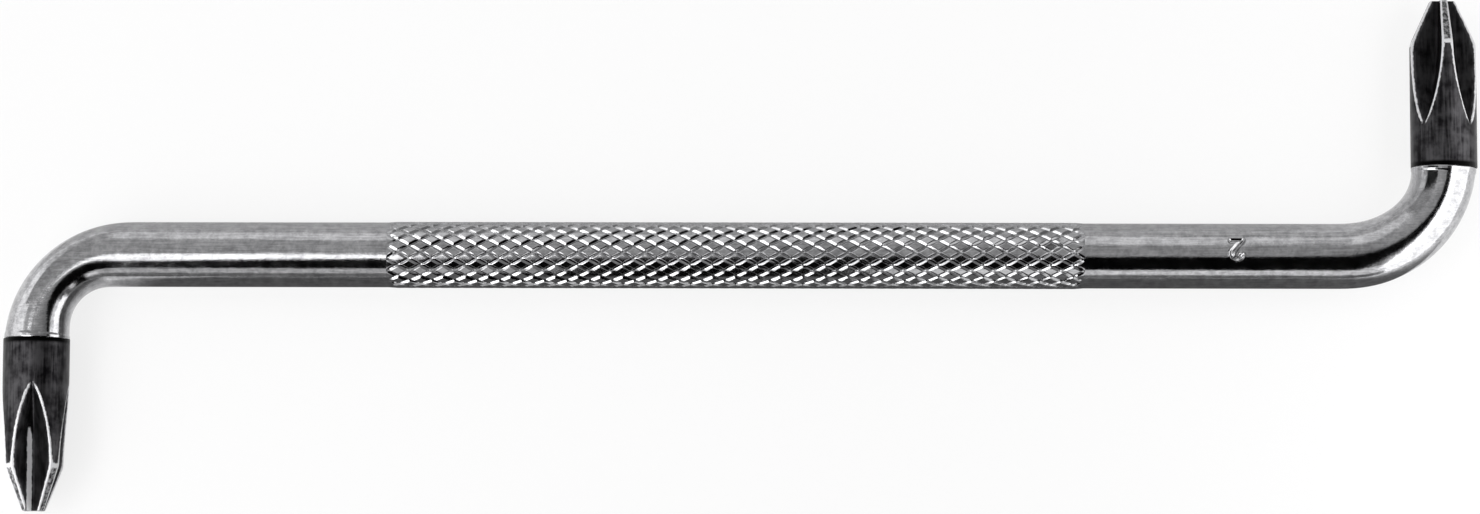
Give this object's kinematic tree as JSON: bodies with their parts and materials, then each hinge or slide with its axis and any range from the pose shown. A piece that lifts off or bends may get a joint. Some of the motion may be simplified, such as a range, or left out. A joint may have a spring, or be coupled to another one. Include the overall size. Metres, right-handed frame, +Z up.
{
  "type": "offset screwdriver",
  "caption": "Offset screwdriver: a plated round bar bent into a flat Z, with a diamond-knurled grip and blackened cross tips turned to different angles.",
  "frame": {"origin": "midway between the two legs and midway between the two nose ends, on the surface that the tool lies on", "axes": "+X along the bar towards the right leg, +Y the way the right leg points, +Z up from the surface"},
  "size_m": [0.1336, 0.0466, 0.006],
  "materials": {
    "plated_bar": "drawn steel bar with a bright plate, lightly grained along the bar",
    "knurled_plate": "rolled diamond knurl with the same bright plate",
    "black_tip": "hardened steel, black oxide"
  },
  "bodies": {
    "root": {"knurled_grip": "knurled_plate", "left_arm": "plated_bar", "right_arm": "plated_bar", "left_tip": "black_tip", "right_tip": "black_tip"}
  },
  "joints": []
}
